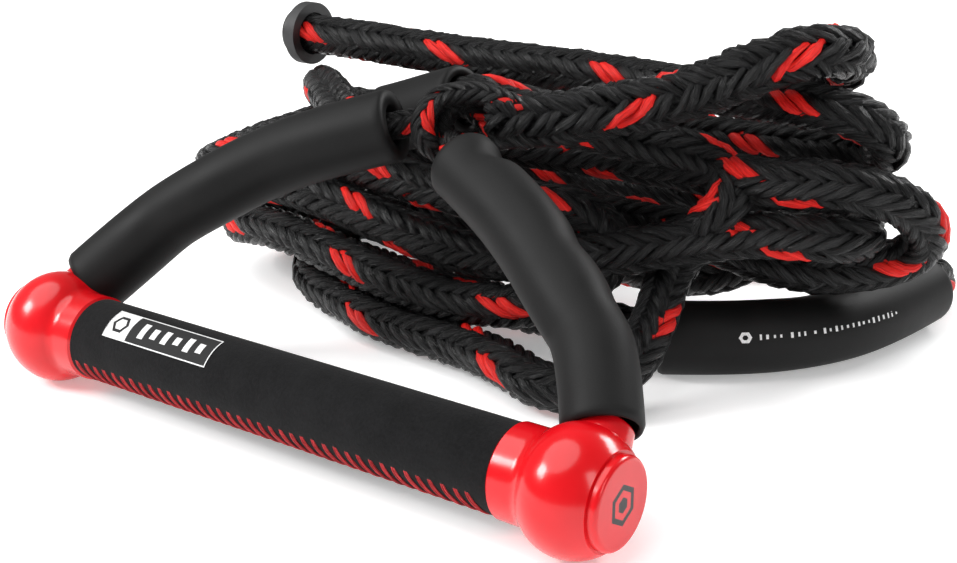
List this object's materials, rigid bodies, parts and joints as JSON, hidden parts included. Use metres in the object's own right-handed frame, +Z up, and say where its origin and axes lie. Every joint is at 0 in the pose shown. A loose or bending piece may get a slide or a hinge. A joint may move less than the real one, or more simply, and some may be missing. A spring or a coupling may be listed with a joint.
{
  "type": "tow rope handle",
  "caption": "Padded wakesurf tow handle with a straight grip, moulded end caps, foam-floated rope bridle and a hanked braided tow line.",
  "frame": {"origin": "middle of the hand grip, on the bar's axis", "axes": "+X along the bar to the right end cap, +Y from the bar towards the tow line, +Z up"},
  "size_m": [0.3144, 0.3072, 0.1308],
  "materials": {
    "cap_red": "gloss",
    "suede_black": "matt",
    "foam_black": "matt",
    "thread_red": "satin",
    "badge_black": "satin",
    "bar_aluminium": "satin",
    "bush_black": "matt",
    "stopper_rubber": "matt",
    "bridle_rope": "satin",
    "tow_rope": "satin"
  },
  "bodies": {
    "tow_line": {"bridle_knot": "tow_rope", "end_knot": "tow_rope", "front_bight": "tow_rope", "hank_low": "tow_rope", "hank_mid": "tow_rope", "hank_top": "tow_rope", "left_arm_rope": "bridle_rope", "left_float": "foam_black", "line_float": "foam_black", "line_float_rope": "tow_rope", "rear_float_rope": "tow_rope", "right_arm_rope": "bridle_rope", "right_float": "foam_black", "splice_rope": "tow_rope", "top_rope": "tow_rope", "tow_loop": "tow_rope"},
    "handle": {"bar_rope": "bridle_rope", "core_tube": "bar_aluminium", "grip_cover": "suede_black", "grip_foam": "foam_black", "grip_label": "badge_black", "grip_seam": "thread_red", "left_button_badge": "badge_black", "left_end_button": "cap_red", "left_end_cap": "cap_red", "left_port_rope": "bridle_rope", "left_tube_bush": "bush_black", "right_button_badge": "badge_black", "right_end_button": "cap_red", "right_end_cap": "cap_red", "right_port_rope": "bridle_rope", "right_tube_bush": "bush_black"},
    "stopper": {"stopper_disc": "stopper_rubber"},
    "rear_foam": {"rear_float": "foam_black"}
  },
  "joints": [
    {"name": "handle_swing", "type": "hinge", "parent": "tow_line", "child": "handle", "pos_m": [0, 0.02189, 0.01903], "axis": [1, 0, 0], "range_deg": [-42, 0]},
    {"name": "stopper_slide", "type": "slide", "parent": "tow_line", "child": "stopper", "axis": [1, 0, 0], "range_m": [0, 0.015]},
    {"name": "rear_float_turn", "type": "hinge", "parent": "tow_line", "child": "rear_foam", "pos_m": [-0.038, 0.098, 0.068], "axis": [0.9447, 0, 0.328], "continuous": true}
  ]
}
